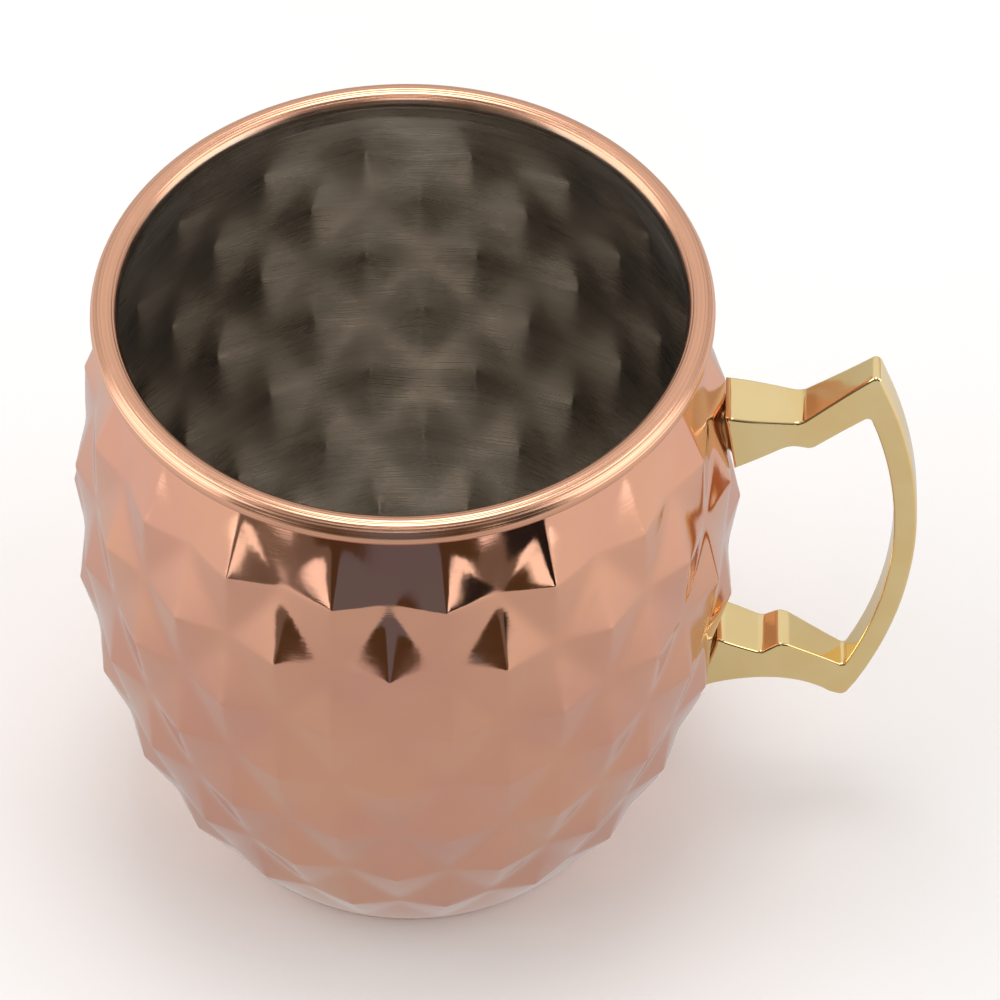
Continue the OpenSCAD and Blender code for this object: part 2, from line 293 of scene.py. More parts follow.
def sheet_piece(name, shown, shown_facing, hidden, hidden_facing, shown_outside):
    """One sheet of metal: the fine side that shows, the coarse side and the edges between."""
    rows, columns = shown.shape[:2]
    hidden = hidden[::HIDDEN_EVERY, ::HIDDEN_EVERY]
    hidden_facing = hidden_facing[::HIDDEN_EVERY, ::HIDDEN_EVERY]
    few_rows, few = hidden.shape[:2]
    points = np.concatenate([shown.reshape(-1, 3), hidden.reshape(-1, 3)])
    shown_turned = shown_facing if shown_outside else -shown_facing
    hidden_turned = -hidden_facing if shown_outside else hidden_facing
    facing = np.concatenate([shown_turned.reshape(-1, 3), hidden_turned.reshape(-1, 3)])
    start = rows * columns
    faces = wrapped_faces(0, rows, columns, shown_outside)
    faces += wrapped_faces(start, few_rows, few, not shown_outside)
    base = list(range(columns))
    hidden_base = [start + j for j in range(few)]
    faces.append(base[::-1] if shown_outside else base)
    faces.append(hidden_base if shown_outside else hidden_base[::-1])
    top, hidden_top = (rows - 1) * columns, start + (few_rows - 1) * few
    for j in range(few):
        run = [top + (HIDDEN_EVERY * j + k) % columns for k in range(HIDDEN_EVERY + 1)]
        edge = run + [hidden_top + (j + 1) % few, hidden_top + j]
        faces.append(edge if shown_outside else edge[::-1])
    return make_piece(name, points, faces, facing)


# %% [markdown]
# Two thin sheets nest in each other. The jacket's studs stay crisp, because polishing takes
# little off the copper. The liner's dimples keep just the upright crease sharp:
# brushing went round and round, and it has worn down the level ones and the edges. The
# softer shape must not reach out past the liner's own back, so what is left of the steel
# is measured before the sheets are made.

# %% Copper jacket and steel liner
OUTER_SOFTNESS = (0.2 * MM, 0.25 * MM, 0.07, 0.08)
INNER_SOFTNESS = (0.06 * MM, 0.5 * MM, 0.2, 0.18)
jacket_front = skin_surface(0, OUTER_SOFTNESS)
jacket_back = skin_surface(COPPER_T, OUTER_SOFTNESS)
liner_back = skin_surface(LINER_OUT, OUTER_SOFTNESS)
liner_front = skin_surface(LINER_IN, INNER_SOFTNESS)

softer = stud_height(angles, wall_z[:, None], INNER_SOFTNESS)
sharper = stud_height(angles, wall_z[:, None], OUTER_SOFTNESS)
print("thinnest liner, mm:", round(float((LINER_T + sharper - softer).min()) / MM, 3))

jacket = sheet_piece("studded_jacket", *jacket_front, *jacket_back, shown_outside=True)
liner = sheet_piece("dimpled_liner", *liner_front, *liner_back, shown_outside=False)
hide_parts("copper_jacket")
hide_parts("steel_liner")
for piece in (jacket, liner):
    print(piece.name, len(piece.data.polygons), "faces")


# %% [markdown]
# The rim is a copper tube rolled outward over the tops of both skins. Its section is a
# circle with a flat side against the neck, and a lathe has left a few shallow rings in
# the inner half of it. Turning a drawn section keeps those rings real, so they catch
# the light at any distance.

# %% Rolled rim
RIM_COLUMNS = 432
RIM_STEPS = 108
RING_DEPTH = 0.05 * MM
RING_PLACES = (24, 46, 58, 72, 84, 97, 112, 128)
RING_SPREAD = 3
RIM_GRIP, RIM_TUCK = 0.1 * MM, 0.6 * MM


def rim_section():
    """Radius and height of points round the rim, from the neck's side over the top."""
    centre_r = MOUTH_R + RIM_R
    flat = math.acos((centre_r - NECK_R - RIM_GRIP) / RIM_R)
    section = []
    for turn in np.linspace(flat - math.pi, math.pi, RIM_STEPS):
        from_rings = [(math.degrees(turn) - place) / RING_SPREAD for place in RING_PLACES]
        cut = sum(math.exp(-(steps**2)) for steps in from_rings)
        r = RIM_R - RING_DEPTH * cut
        section.append((centre_r + r * math.cos(turn), WALL_TOP + r * math.sin(turn)))
    section.append((MOUTH_R + RIM_TUCK, WALL_TOP))
    section.append((NECK_R + RIM_GRIP, WALL_TOP))
    return section


def turned_piece(name, section, columns):
    """A closed section turned once round the mug's axis."""
    count = len(section)
    points = [
        (r * math.cos(a), r * math.sin(a), z)
        for r, z in section
        for a in [2 * math.pi * j / columns for j in range(columns)]
    ]
    faces = wrapped_faces(0, count, columns)
    last = (count - 1) * columns
    for j in range(columns):
        k = (j + 1) % columns
        faces.append((last + j, last + k, k, j))
    return make_piece(name, points, faces)


rim = turned_piece("turned_rim", rim_section(), RIM_COLUMNS)
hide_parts("rolled_rim")
print("rim", len(rim.data.polygons), "faces")

# %% [markdown]
# The handle is one brass casting with an angular outline: two feet, a peak on top, a
# heel below and a long shallow bow between them. Only the corners of the outline are
# written down. Each corner is then rounded and the bow is an arc, as they were cut in
# the mould. A bevel modifier could round the corners too, but it would round all of
# them alike. The outline is in mm, out from the belly and up from the handle's middle.

# %% Outline helpers
HANDLE_DROP = 46 * MM
HANDLE_Z = HEIGHT - HANDLE_DROP
BOW_REACH, BOW_T, BOW_R, INNER_R = 27.17, 3.3, 82, 74
OUTER_LIFT, INNER_LIFT = 1.5, 0.5
OUTER_CENTRE = Vector((BOW_REACH - BOW_R, OUTER_LIFT))
INNER_CENTRE = Vector((BOW_REACH - BOW_T - INNER_R, INNER_LIFT))


def arc_x(centre, r, z):
    """How far out an arc lies at one height."""
    return centre.x + math.sqrt(r * r - (z - centre.y) ** 2)


def rounded(before, corner, after, r, steps=7):
    """Points of a corner cut round, between the lines to its two neighbours."""
    to_before, to_after = (before - corner).normalized(), (after - corner).normalized()
    half = to_before.angle(to_after) / 2
    centre = corner + (to_before + to_after).normalized() * (r / math.sin(half))
    start = (corner + to_before * (r / math.tan(half)) - centre).normalized()
    end = (corner + to_after * (r / math.tan(half)) - centre).normalized()
    return [centre + start.slerp(end, k / steps) * r for k in range(steps + 1)]


def arc_by_height(centre, r, z_start, z_end, steps):
    """Points of an arc between two heights."""
    start, end = [math.asin((z - centre.y) / r) for z in (z_start, z_end)]
    turns = np.linspace(start, end, steps + 1)
    return [centre + r * Vector((math.cos(a), math.sin(a))) for a in turns]


def arch(a, b, rise, steps):
    """Points of a shallow arc that bulges upward between two ends."""
    along = (b - a).normalized()
    up = Vector((along.y, -along.x)) if along.x < 0 else Vector((-along.y, along.x))
    half = (b - a).length / 2
    r = (half * half + rise * rise) / (2 * rise)
    centre = (a + b) / 2 - up * (r - rise)
    turns = np.linspace(-1, 1, steps + 1)[1:-1] * math.asin(half / r)
    return [centre + r * (up * math.cos(t) + along * math.sin(t)) for t in turns]


# %% Corners of the outline
PEAK_Z, HEEL_Z, ARMPIT_Z, CROOK_Z = 34.6, -35.6, 25.8, -28.8
TOP_DIP = Vector((9.6, 25.3))
UNDER_DIP, UNDER_CREST = Vector((11.3, 19.7)), Vector((8.2, 20.8))
LOW_NOTCH = Vector((5.4, -24.6))
LOW_BUMP, LOW_BUMP_END = Vector((8, -22.8)), Vector((9.4, -23.2))
UPPER_TOP_Z, UPPER_END_Z = 26.9, 16.3
LOWER_TOP_Z, LOWER_END_Z = -21.5, -32.9
FOOT_DEPTH = 1.0
TIP_OUT = Vector((0.2, 0))


def foot_point(z):
    """Where a foot meets the barrel, drawn a little inside the studs' points."""
    r = float(barrel_r(np.array(HANDLE_Z + z * MM))) / MM
    return Vector((r + FOOT_DEPTH - BELLY_R / MM, z))


def outer(z):
    """A point of the bow's outer line."""
    return Vector((arc_x(OUTER_CENTRE, BOW_R, z), z))


def inner(z):
    """A point of the bow's inner line."""
    return Vector((arc_x(INNER_CENTRE, INNER_R, z), z))


peak, heel = outer(PEAK_Z) + TIP_OUT, outer(HEEL_Z) - TIP_OUT
armpit, crook = inner(ARMPIT_Z), inner(CROOK_Z)
upper_top, upper_end = foot_point(UPPER_TOP_Z), foot_point(UPPER_END_Z)
lower_top, lower_end = foot_point(LOWER_TOP_Z), foot_point(LOWER_END_Z)
print("reach of the handle, mm:", round(BELLY_R / MM + BOW_REACH, 2))

# %% Roundings of the corners, and the whole outline
TIP_RUN = 3
HEEL_WAY, ARCH_START, ARCH_RISE = Vector((-4, 1.6)), Vector((-1.6, 0.3)), 3.7
PEAK_ROUND, HEEL_ROUND, CROOK_ROUND = 0.9, 1.1, 0.6
TOP_DIP_ROUND, UNDER_DIP_ROUND, UNDER_CREST_ROUND = 2.5, 1.5, 3
NOTCH_ROUND, BUMP_ROUND, BUMP_STEPS = 1.2, 1.5, 4
OUTER_STEPS, INNER_STEPS, ARCH_STEPS = 40, 36, 24

peak_side, heel_side = PEAK_Z - TIP_RUN, HEEL_Z + TIP_RUN
armpit_side, crook_side = ARMPIT_Z - TIP_RUN, CROOK_Z + TIP_RUN
outline = (
    [upper_top]
    + rounded(upper_top, TOP_DIP, peak, TOP_DIP_ROUND)
    + rounded(TOP_DIP, peak, outer(peak_side), PEAK_ROUND)
    + arc_by_height(OUTER_CENTRE, BOW_R, peak_side, heel_side, OUTER_STEPS)
    + rounded(outer(heel_side), heel, heel + HEEL_WAY, HEEL_ROUND)
    + arch(heel + ARCH_START, lower_end, ARCH_RISE, ARCH_STEPS)
    + [lower_end, lower_top]
    + rounded(lower_top, LOW_NOTCH, LOW_BUMP, NOTCH_ROUND)
    + rounded(LOW_NOTCH, LOW_BUMP, LOW_BUMP_END, BUMP_ROUND, BUMP_STEPS)
    + rounded(LOW_BUMP, LOW_BUMP_END, crook, BUMP_ROUND, BUMP_STEPS)
    + rounded(LOW_BUMP_END, crook, inner(crook_side), CROOK_ROUND)
    + arc_by_height(INNER_CENTRE, INNER_R, crook_side, armpit_side, INNER_STEPS)
    + rounded(inner(armpit_side), armpit, UNDER_DIP, CROOK_ROUND)
    + rounded(armpit, UNDER_DIP, UNDER_CREST, UNDER_DIP_ROUND)
    + rounded(UNDER_DIP, UNDER_CREST, upper_end, UNDER_CREST_ROUND)
    + [upper_end]
)
print("outline", len(outline), "points")

# %% [markdown]
# The outline becomes a solid in three kinds of faces: a band across the handle's width,
# a small rounding along every edge, and two flat sides. The width shrinks from the feet
# to the bow, so the sides need points inside them too, or the long thin triangles
# between the edges would show as creases in the polish.

# %% Width and edge of the casting
FOOT_W, BOW_W, TAPER_END = 8.4, 4.7, 21


def half_width(x):
    """Half the handle's width at each distance out from the belly."""
    t = min(max(x / TAPER_END, 0), 1)
    return (FOOT_W + (BOW_W - FOOT_W) * t * t * (3 - 2 * t)) / 2


def with_short_steps(points, step):
    """The same closed line, with points added where two neighbours lie far apart."""
    filled = []
    for a, b in zip(points, points[1:] + points[:1]):
        cuts = max(1, round((b - a).length / step))
        filled += [a.lerp(b, k / cuts) for k in range(cuts)]
    return filled


def corner_offsets(points):
    """For each point of a closed line, the way out that moves both its sides out by one."""
    offsets = []
    for before, here, after in zip(points[-1:] + points[:-1], points, points[1:] + points[:1]):
        a, b = (here - before).normalized(), (after - here).normalized()
        out_a, out_b = Vector((-a.y, a.x)), Vector((-b.y, b.x))
        offsets.append((out_a + out_b) / (1 + out_a.dot(out_b)))
    return offsets


# %% Filling the flat sides
SIDE_STEP = 1.6
KEEP_INSIDE, JOIN_WITHIN = 1, 1e-5


def lies_inside(point, line):
    """Whether a point lies inside a closed line, by counting the sides to its right."""
    crossings = 0
    for a, b in zip(line, line[1:] + line[:1]):
        if (a.y > point.y) != (b.y > point.y):
            crossings += point.x < a.x + (point.y - a.y) * (b.x - a.x) / (b.y - a.y)
    return crossings % 2 == 1


def side_net(edge, margin):
    """Triangles that fill a closed line, with evenly spaced points inside it."""
    low = Vector((min(p.x for p in edge), min(p.y for p in edge)))
    high = Vector((max(p.x for p in edge), max(p.y for p in edge)))
    loose = []
    for x in np.arange(low.x, high.x, SIDE_STEP):
        for y in np.arange(low.y, high.y, SIDE_STEP):
            spot = Vector((x, y))
            if lies_inside(spot, edge) and min((spot - p).length for p in edge) > margin:
                loose.append(spot)
    border = list(range(len(edge)))
    made = delaunay_2d_cdt(edge + loose, [], [border], KEEP_INSIDE, JOIN_WITHIN)
    return [list(p) for p in made[0]], [list(f) for f in made[2]]


# %% Casting
EDGE_ROUND, EDGE_STEPS = 0.42, 4
LINE_STEP, BAND_CELLS = 1.2, 4


def casting_point(p, y):
    """The place on the mug of a point of the outline, at a distance from its middle."""
    return (BELLY_R + p.x * MM, y * MM, HANDLE_Z + p.y * MM)


def make_handle(line):
    """The casting, as rings from one flat side over the edges and the band to the other."""
    line = with_short_steps(line, LINE_STEP)
    out = corner_offsets(line)
    count = len(line)
    points, faces = [], []

    def add_ring(depth, y_of):
        """The line drawn in by a depth, set aside by what y_of makes of the half width."""
        for p, o in zip(line, out):
            spot = p - o * depth
            points.append(casting_point(spot, y_of(half_width(spot.x))))

    for side in (-1, 1):
        steps = range(EDGE_STEPS, -1, -1) if side < 0 else range(EDGE_STEPS + 1)
        for k in steps:
            turn = math.pi / 2 * k / EDGE_STEPS
            depth = EDGE_ROUND * (1 - math.cos(turn))
            add_ring(depth, lambda w: side * (w - EDGE_ROUND * (1 - math.sin(turn))))
        if side < 0:
            for k in range(1, BAND_CELLS):
                share = 2 * k / BAND_CELLS - 1
                add_ring(0, lambda w: share * (w - EDGE_ROUND))
    rings = len(points) // count
    for i in range(rings - 1):
        for j in range(count):
            a, b = i * count + j, i * count + (j + 1) % count
            faces.append((a, b, b + count, a + count))
    edge = [p - o * EDGE_ROUND for p, o in zip(line, out)]
    net, triangles = side_net(edge, SIDE_STEP / 2)
    for side, ring in ((-1, 0), (1, rings - 1)):
        start = len(points) - count
        points += [casting_point(Vector(p), side * half_width(p[0])) for p in net[count:]]
        place = [ring * count + k for k in range(count)]
        place += [start + k for k in range(count, len(net))]
        for t in triangles:
            turned = [place[k] for k in t]
            faces.append(turned if side > 0 else turned[::-1])
    return make_piece("brass_handle", points, faces)


handle = make_handle(outline)
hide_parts("handle")
print("handle", len(handle.data.polygons), "faces")

# %% [markdown]
# Faces of very different sizes meet at the casting's edges, and plain smooth shading
# would bend the light over the flat sides. The weighted-normal modifier lets the big
# faces decide, so the sides look flat and only the rounding looks round.

# %% Flat sides on the handle
BIG_FACES_COUNT = 90

flatten = handle.modifiers.new("flat_sides", "WEIGHTED_NORMAL")
flatten.weight = BIG_FACES_COUNT
flatten.keep_sharp = False
print(flatten.name, "on", handle.name)

# %% [markdown]
# Under each foot, filler metal has run into the gap and set with hollow sides, wide
# where it wets the brass and the copper and narrow between them. Each pad is lofted
# from the foot's end face to the jacket's wall.

# %% Brazed joints
PAD_INSET, PAD_STEPS, PAD_POINTS = 0.8, 8, 48
PAD_WAIST, PAD_SQUARENESS = 0.16, 4
BIG_RIPPLES, BIG_RIPPLE = 5, 0.03
SMALL_RIPPLES, SMALL_RIPPLE = 9, 0.02
RIPPLE_TWIST = 2
PAD_LAP, PAD_SINK = 0.05, 0.2 * MM


def make_pad(name, top, end):
    """Filler metal between one foot and the wall, as rings across the gap."""
    along = (end - top).normalized()
    middle, half_len = (top + end) / 2, (end - top).length / 2 - PAD_INSET
    wide = FOOT_W / 2 - PAD_INSET
    rings = []
    for k in range(PAD_STEPS + 1):
        share = k / PAD_STEPS
        waist = 1 - PAD_WAIST * math.sin(math.pi * share)
        ring = []
        for j in range(PAD_POINTS):
            a = 2 * math.pi * j / PAD_POINTS
            c, d = math.cos(a), math.sin(a)
            round_off = (abs(c) ** PAD_SQUARENESS + abs(d) ** PAD_SQUARENESS) ** (-1 / PAD_SQUARENESS)
            big = BIG_RIPPLE * math.sin(BIG_RIPPLES * a + RIPPLE_TWIST * share)
            ripple = 1 + big + SMALL_RIPPLE * math.sin(SMALL_RIPPLES * a)
            spot = middle + along * (c * round_off * half_len * waist * ripple)
            y = d * round_off * wide * waist * ripple * MM
            z = HANDLE_Z + spot.y * MM
            wall = float(barrel_r(np.array(z))) - PAD_SINK
            x_wall = math.sqrt(wall * wall - y * y)
            x_foot = BELLY_R + (spot.x + PAD_LAP) * MM
            ring.append((x_foot + (x_wall - x_foot) * share, y, z))
        rings.append(ring)
    points = [p for ring in rings for p in ring]
    faces = wrapped_faces(0, len(rings), PAD_POINTS)
    faces.append(list(range(PAD_POINTS))[::-1])
    faces.append([PAD_STEPS * PAD_POINTS + j for j in range(PAD_POINTS)])
    return make_piece(name, points, faces)


upper_pad = make_pad("upper_filler", upper_top, upper_end)
lower_pad = make_pad("lower_filler", lower_top, lower_end)
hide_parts("upper_braze")
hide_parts("lower_braze")
print("pads", len(upper_pad.data.polygons), "faces each")

# %% [markdown]
# All five finishes are metals, and they differ in tint, in how fine the polish is and in
# the marks on it. These small helpers add nodes and join them, so that each finish
# below reads as a short list of what is done to the metal.

# %% Helpers for finishes
def add(tree, kind, settings=None, **inputs):
    """A new node, with its settings and the values or links of its inputs.

    Inputs that share a name are given by number: i0 is the first one.
    """
    made = tree.nodes.new(kind)
    for key, value in (settings or {}).items():
        setattr(made, key, value)
    for key, value in inputs.items():
        by_number = key[0] == "i" and key[1:].isdigit()
        socket = made.inputs[int(key[1:]) if by_number else key]
        if isinstance(value, bpy.types.NodeSocket):
            tree.links.new(value, socket)
        else:
            socket.default_value = value
    return made


def metal(name, tint, roughness):
    """A metal finish to build on: its material, its node tree and its shader."""
    finish = bpy.data.materials.new(name)
    finish.use_nodes = True
    shader = finish.node_tree.nodes["Principled BSDF"]
    shader.inputs["Base Color"].default_value = (*tint, 1)
    shader.inputs["Metallic"].default_value = 1
    shader.inputs["Roughness"].default_value = roughness
    return finish, finish.node_tree, shader


# %% Helpers for marks and tints
def places(tree, squeeze=(1, 1, 1)):
    """Places on the object, in metres, squeezed along an axis to make marks thin that way."""
    where = add(tree, "ShaderNodeTexCoord").outputs["Object"]
    return add(tree, "ShaderNodeMapping", Vector=where, Scale=squeeze).outputs["Vector"]


def noise(tree, where, per_metre, detail=3.0, rough=0.5):
    """Soft random marks, so many to the metre, with finer ones mixed in."""
    settings = {"Vector": where, "Scale": per_metre, "Detail": detail, "Roughness": rough}
    return add(tree, "ShaderNodeTexNoise", **settings).outputs["Fac"]


def between(tree, value, given, wanted):
    """A value moved smoothly from one range to another."""
    made = add(tree, "ShaderNodeMapRange", {"interpolation_type": "SMOOTHSTEP"}, Value=value)
    for name, number in zip(("From Min", "From Max", "To Min", "To Max"), given + wanted):
        made.inputs[name].default_value = number
    return made.outputs["Result"]


def maths(tree, operation, a, b=0.5):
    """One sum on one or two values."""
    return add(tree, "ShaderNodeMath", {"operation": operation}, i0=a, i1=b).outputs["Value"]


def blend(tree, share, first, second):
    """One colour turning into another."""
    made = add(tree, "ShaderNodeMix", {"data_type": "RGBA"})
    for index, value in ((0, share), (6, first), (7, second)):
        if isinstance(value, bpy.types.NodeSocket):
            tree.links.new(value, made.inputs[index])
        else:
            made.inputs[index].default_value = value if index == 0 else (*value, 1)
    return made.outputs[2]


def bump(tree, height, depth, strength=1.0, under=None):
    """Marks of a given depth in metres, on top of another bump if there is one."""
    made = add(tree, "ShaderNodeBump", Height=height, Distance=depth, Strength=strength)
    if under is not None:
        tree.links.new(under, made.inputs["Normal"])
    return made.outputs["Normal"]


def apply_finish(finish, *pieces):
    """Put one finish on each of the pieces."""
    for piece in pieces:
        piece.data.materials.clear()
        piece.data.materials.append(finish)
        print(finish.name, "on", piece.name)


# %% [markdown]
# The jacket is bright copper under clear lacquer. Its tint drifts a little from place to
# place, the sheet still has a faint orange-peel from pressing, and handling has left
# hair scratches and a few dull spots. The drift is weak on purpose: on a mirror-like
# metal most of what one sees is the room.

# %% Copper finish of the jacket
COPPER = (0.75, 0.39, 0.27)
COPPER_WARM = (0.77, 0.41, 0.275)
COPPER_PINK = (0.73, 0.38, 0.28)
COPPER_GLOSS = (0.075, 0.15)
PEEL_DEPTH, HAIR_DEPTH = 0.06 * MM, 0.016 * MM


def copper_finish():
    """Clear bright copper with drifting tint, orange peel, hair scratches and smudges."""
    finish, tree, shader = metal("polished_copper", COPPER, 0.1)
    where = places(tree)
    drift = between(tree, noise(tree, where, per_metre=45, detail=4), (0.35, 0.65), (0, 1))
    tint = blend(tree, drift, COPPER_WARM, COPPER_PINK)
    tree.links.new(tint, shader.inputs["Base Color"])
    spots = noise(tree, where, per_metre=90, detail=5, rough=0.6)
    tree.links.new(between(tree, spots, (0.4, 0.75), COPPER_GLOSS), shader.inputs["Roughness"])
    peel = bump(tree, noise(tree, where, per_metre=260, detail=2), PEEL_DEPTH, 0.35)
    hair = noise(tree, places(tree, squeeze=(1, 1, 14)), per_metre=300, detail=4, rough=0.7)
    scratched = bump(tree, hair, HAIR_DEPTH, 0.3, under=peel)
    tree.links.new(scratched, shader.inputs["Normal"])
    return finish


apply_finish(copper_finish(), jacket)

# %% [markdown]
# The liner is stainless steel, brushed round and round. Brushing does two things: it
# leaves fine streaks, and it smears every reflection across the streaks, so up and down
# the wall. The streaks are a noise squeezed along the height, and the smear is the
# shader's anisotropy, turned round the mug's axis.

# %% Brushed steel of the liner
STEEL = (0.55, 0.505, 0.455)
STEEL_DARK = (0.43, 0.395, 0.35)
STEEL_GLOSS = (0.24, 0.34)
STREAK_DEPTH = 0.03 * MM
STREAK_SMEAR, SMEAR_TURN = 0.5, 0.25


def steel_finish():
    """Grey steel with fine and broad streaks round the mug, smeared across them."""
    finish, tree, shader = metal("brushed_steel", STEEL, 0.3)
    fine = noise(tree, places(tree, squeeze=(0.35, 0.35, 30)), per_metre=95, detail=6, rough=0.75)
    broad = noise(tree, places(tree, squeeze=(0.5, 0.5, 6)), per_metre=40)
    worn = noise(tree, places(tree), per_metre=60, rough=0.6)
    streaks = between(tree, maths(tree, "ADD", fine, broad), (0.8, 1.25), (0, 1))
    tree.links.new(blend(tree, streaks, STEEL_DARK, STEEL), shader.inputs["Base Color"])
    dull = between(tree, maths(tree, "ADD", fine, worn), (0.75, 1.3), STEEL_GLOSS)
    tree.links.new(dull, shader.inputs["Roughness"])
    tree.links.new(bump(tree, fine, STREAK_DEPTH, 0.5), shader.inputs["Normal"])
    shader.inputs["Anisotropic"].default_value = STREAK_SMEAR
    shader.inputs["Anisotropic Rotation"].default_value = SMEAR_TURN
    round_axis = add(tree, "ShaderNodeTangent", {"direction_type": "RADIAL", "axis": "Z"})
    tree.links.new(round_axis.outputs["Tangent"], shader.inputs["Tangent"])
    return finish


apply_finish(steel_finish(), liner)

# %% [markdown]
# The rim's copper is turned on a lathe, so its marks are thin rings. On the inside of the
# rim the plating has been polished thin and the pale metal below shows through. That
# change follows the distance from the mug's axis, which is worked out in the nodes from
# the place on the object, so it stays exact wherever the rim is cut.

# %% Turned copper of the rim
RIM_COPPER = (0.72, 0.38, 0.24)
RIM_PALE = (0.77, 0.43, 0.29)
BARE_METAL = (0.60, 0.50, 0.42)
RIM_GLOSS = (0.19, 0.27)
RINGS_PER_METRE, RING_SLANT = 5200.0, 0.7
RING_MARK_DEPTH = 0.03 * MM
BARE_END = (MOUTH_R + 0.5 * MM, MOUTH_R + 1.2 * MM)
BARE_SLANT, BARE_WANDER = 0.35, 0.5 * MM


def rim_finish():
    """Ringed copper that thins to bare metal on the inside of the rim."""
    finish, tree, shader = metal("turned_copper", RIM_COPPER, 0.26)
    where = places(tree)
    split = add(tree, "ShaderNodeSeparateXYZ", Vector=where)
    x, y, z = (split.outputs[k] for k in range(3))
    square = maths(tree, "ADD", maths(tree, "MULTIPLY", x, x), maths(tree, "MULTIPLY", y, y))
    from_axis = maths(tree, "SQRT", square)
    along_line = maths(tree, "ADD", from_axis, maths(tree, "MULTIPLY", z, RING_SLANT))
    one_way = {"noise_dimensions": "1D"}
    marks = {"W": along_line, "Scale": RINGS_PER_METRE, "Detail": 3.0}
    rings = add(tree, "ShaderNodeTexNoise", one_way, **marks).outputs["Fac"]
    patchy = noise(tree, where, per_metre=120, detail=4, rough=0.6)
    over_wall = maths(tree, "MULTIPLY", maths(tree, "SUBTRACT", z, WALL_TOP), BARE_SLANT)
    uneven = maths(tree, "MULTIPLY", patchy, BARE_WANDER)
    spread = maths(tree, "ADD", maths(tree, "ADD", from_axis, over_wall), uneven)
    tint = blend(tree, between(tree, rings, (0.35, 0.65), (0, 1)), RIM_COPPER, RIM_PALE)
    worn_through = blend(tree, between(tree, spread, BARE_END, (0, 1)), BARE_METAL, tint)
    tree.links.new(worn_through, shader.inputs["Base Color"])
    tree.links.new(between(tree, patchy, (0.35, 0.7), RIM_GLOSS), shader.inputs["Roughness"])
    tree.links.new(bump(tree, rings, RING_MARK_DEPTH, 0.4), shader.inputs["Normal"])
    return finish


apply_finish(rim_finish(), rim)

# %% [markdown]
# The handle is cast brass, ground flat and polished, so it keeps the very slight waves of
# a hand-held part. The filler under its feet is the same colour but was never polished.

# %% Brass finishes
BRASS = (0.88, 0.69, 0.36)
BRASS_DEEP = (0.86, 0.64, 0.30)
FILLER = (0.55, 0.40, 0.20)
BRASS_GLOSS, FILLER_GLOSS = (0.07, 0.17), (0.28, 0.5)
WAVE_DEPTH, LINE_DEPTH, LUMP_DEPTH = 0.1 * MM, 0.01 * MM, 0.1 * MM


def brass_finish():
    """Bright brass with slight waves, fine polishing lines and smudges."""
    finish, tree, shader = metal("polished_brass", BRASS, 0.1)
    where = places(tree)
    drift = between(tree, noise(tree, where, per_metre=70), (0.35, 0.65), (0, 1))
    tree.links.new(blend(tree, drift, BRASS, BRASS_DEEP), shader.inputs["Base Color"])
    spots = noise(tree, where, per_metre=160, detail=5, rough=0.6)
    tree.links.new(between(tree, spots, (0.4, 0.75), BRASS_GLOSS), shader.inputs["Roughness"])
    waves = bump(tree, noise(tree, where, per_metre=130, detail=1), WAVE_DEPTH, 0.35)
    fine = noise(tree, places(tree, squeeze=(1, 6, 1)), per_metre=500, detail=4, rough=0.7)
    tree.links.new(bump(tree, fine, LINE_DEPTH, 0.25, under=waves), shader.inputs["Normal"])
    return finish


def filler_finish():
    """Dull filler with small lumps, as it set."""
    finish, tree, shader = metal("brazing_filler", FILLER, 0.35)
    lumps = noise(tree, places(tree), per_metre=700, detail=4, rough=0.6)
    tree.links.new(between(tree, lumps, (0.3, 0.7), FILLER_GLOSS), shader.inputs["Roughness"])
    tree.links.new(bump(tree, lumps, LUMP_DEPTH, 0.6), shader.inputs["Normal"])
    return finish


apply_finish(brass_finish(), handle)
apply_finish(filler_finish(), upper_pad, lower_pad)

# %% [markdown]
# Polished metal is lit by what stands round it. The floor is plain and pale, so that the
# mug's outline reads clearly. It is much larger than the mug, because its edge would
# otherwise show in low views.

# %% Floor
FLOOR_HALF = 4.0
FLOOR_PAINT = (0.9, 0.895, 0.89)


def plain_sheet(name, corners):
    """A flat sheet that belongs to the studio and not to the mug."""
    mesh = bpy.data.meshes.new(name)
    mesh.from_pydata(corners, [], [tuple(range(len(corners)))])
    sheet = bpy.data.objects.new(name, mesh)
    bpy.context.scene.collection.objects.link(sheet)
    return sheet


def lying_sheet(name, half, near, far, height):
    """A level sheet, as wide to the left as to the right."""
    around = [(-half, near), (half, near), (half, far), (-half, far)]
    return plain_sheet(name, [(x, y, height) for x, y in around])


floor = lying_sheet("floor", FLOOR_HALF, -FLOOR_HALF, FLOOR_HALF, 0)
paint, _, paint_shader = metal("pale_floor", FLOOR_PAINT, 0.7)
paint_shader.inputs["Metallic"].default_value = 0
apply_finish(paint, floor)

# %% [markdown]
# A studio is more than a floor: the mug also mirrors painted reflections, a mat under it,
# cards beside it and the dark side where the camera stands. These sheets glow by
# themselves, evenly, so their tone doesn't depend on the lights, and only reflections see
# them, so they paint reflections and highlights into the metal. Lights alone would leave
# the copper looking like plastic, because a mirror needs dark things to show as well as bright ones.

# %% Helpers for sheets that only reflections see
JUST_OVER_FLOOR = 0.001


def glow_finish(name, colour_of, radiance=1.0):
    """A finish that glows by itself, so that it doesn't depend on the lights."""
    finish = bpy.data.materials.new(name)
    finish.use_nodes = True
    tree = finish.node_tree
    tree.nodes.clear()
    glow = add(tree, "ShaderNodeEmission", Color=colour_of(tree), Strength=radiance)
    add(tree, "ShaderNodeOutputMaterial", Surface=glow.outputs["Emission"])
    return finish


